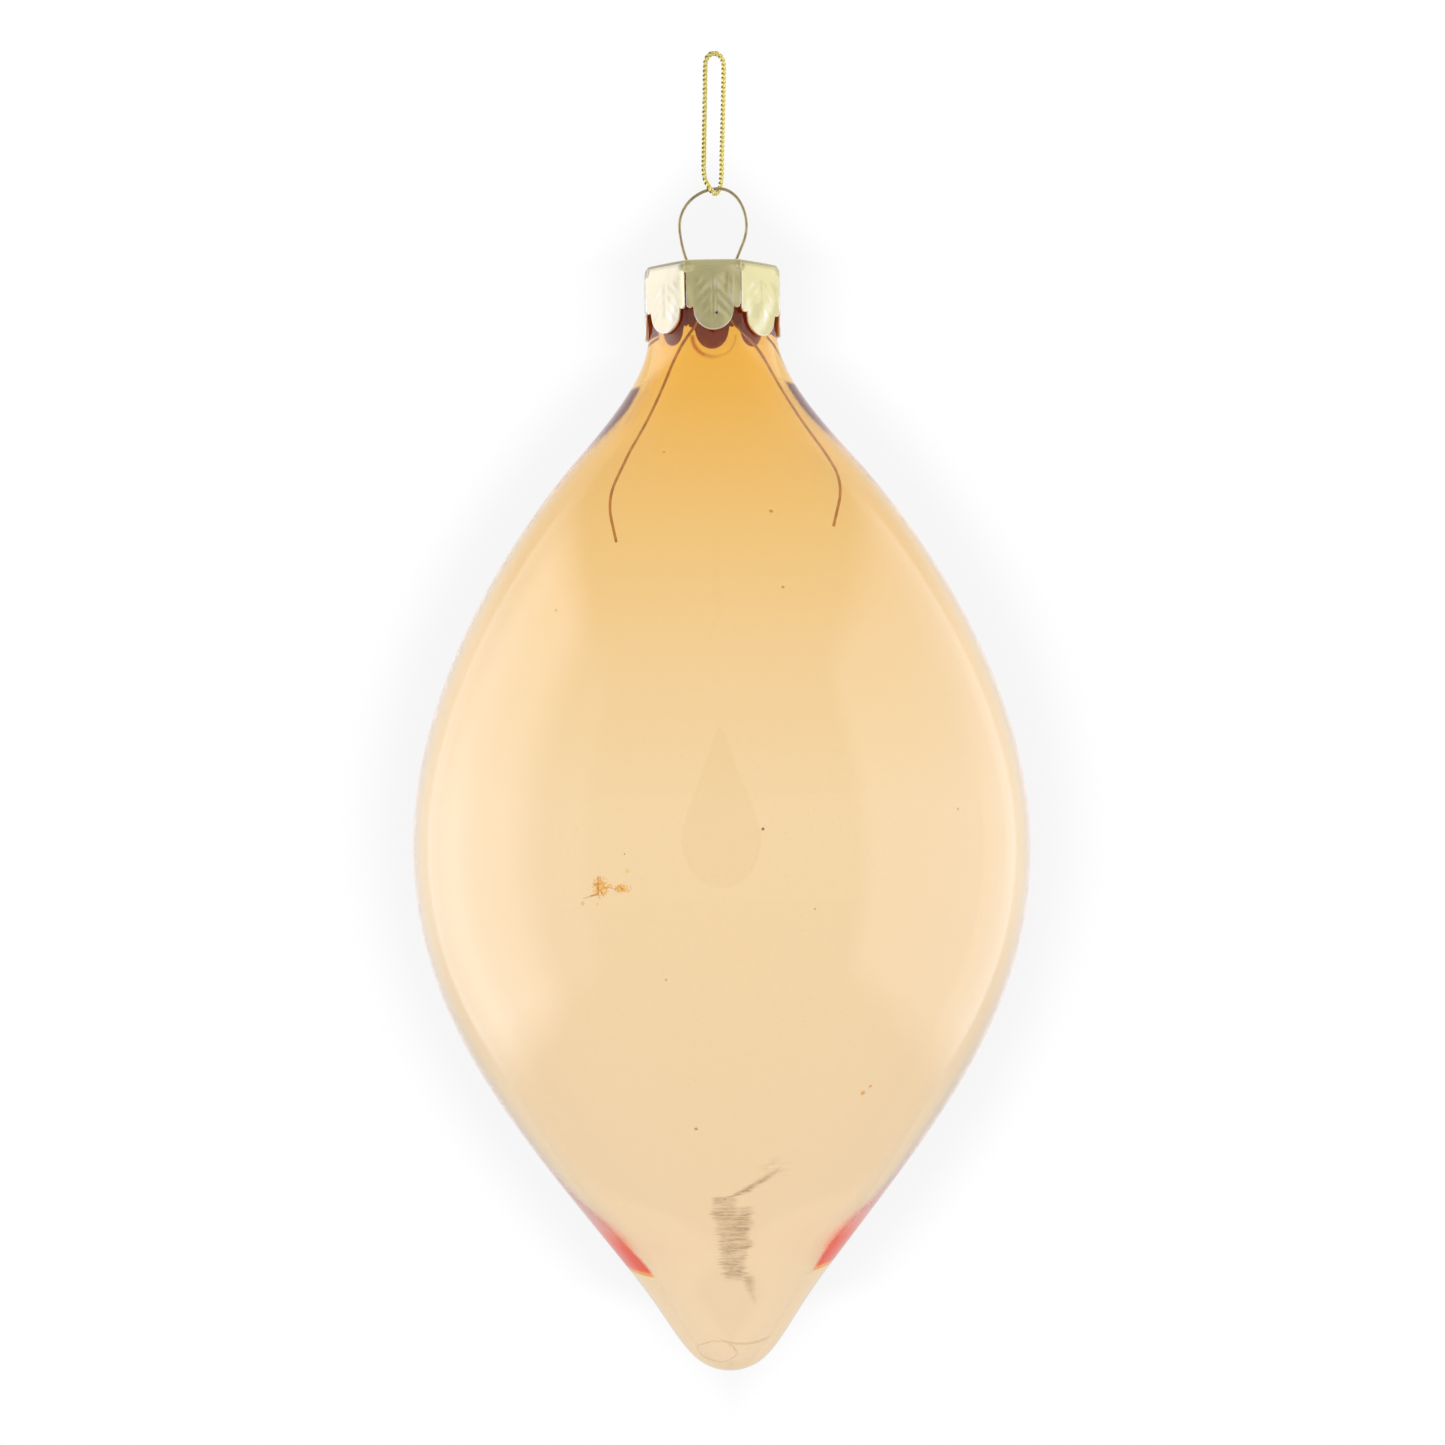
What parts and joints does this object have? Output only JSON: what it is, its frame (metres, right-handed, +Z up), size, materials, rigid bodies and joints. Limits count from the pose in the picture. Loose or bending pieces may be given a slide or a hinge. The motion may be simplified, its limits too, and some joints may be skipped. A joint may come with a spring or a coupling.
{
  "type": "glass teardrop ornament",
  "caption": "Hollow blown-glass teardrop with a petalled metal cap, a sprung wire hanger and a cord loop, for hanging on a branch or hook.",
  "frame": {"origin": "underside of the top of the wire eye, where the ornament hangs, on the axis of the glass", "axes": "+Z up along the axis of the glass, +X to the right along the plane of the wire eye, -Y towards the viewer"},
  "size_m": [0.0614, 0.0614, 0.1319],
  "materials": {
    "amber_glass": "clear glass tinted from amber at the neck to pale straw at the tip",
    "gold_cap": "thin pressed metal with a pale gold lacquer",
    "hanger_wire": "dull gold spring wire",
    "gold_cord": "metallic gold twisted thread"
  },
  "bodies": {
    "root": {"glass_bulb": "amber_glass", "cap": "gold_cap", "hanger": "hanger_wire", "hanging_cord": "gold_cord"}
  },
  "joints": []
}
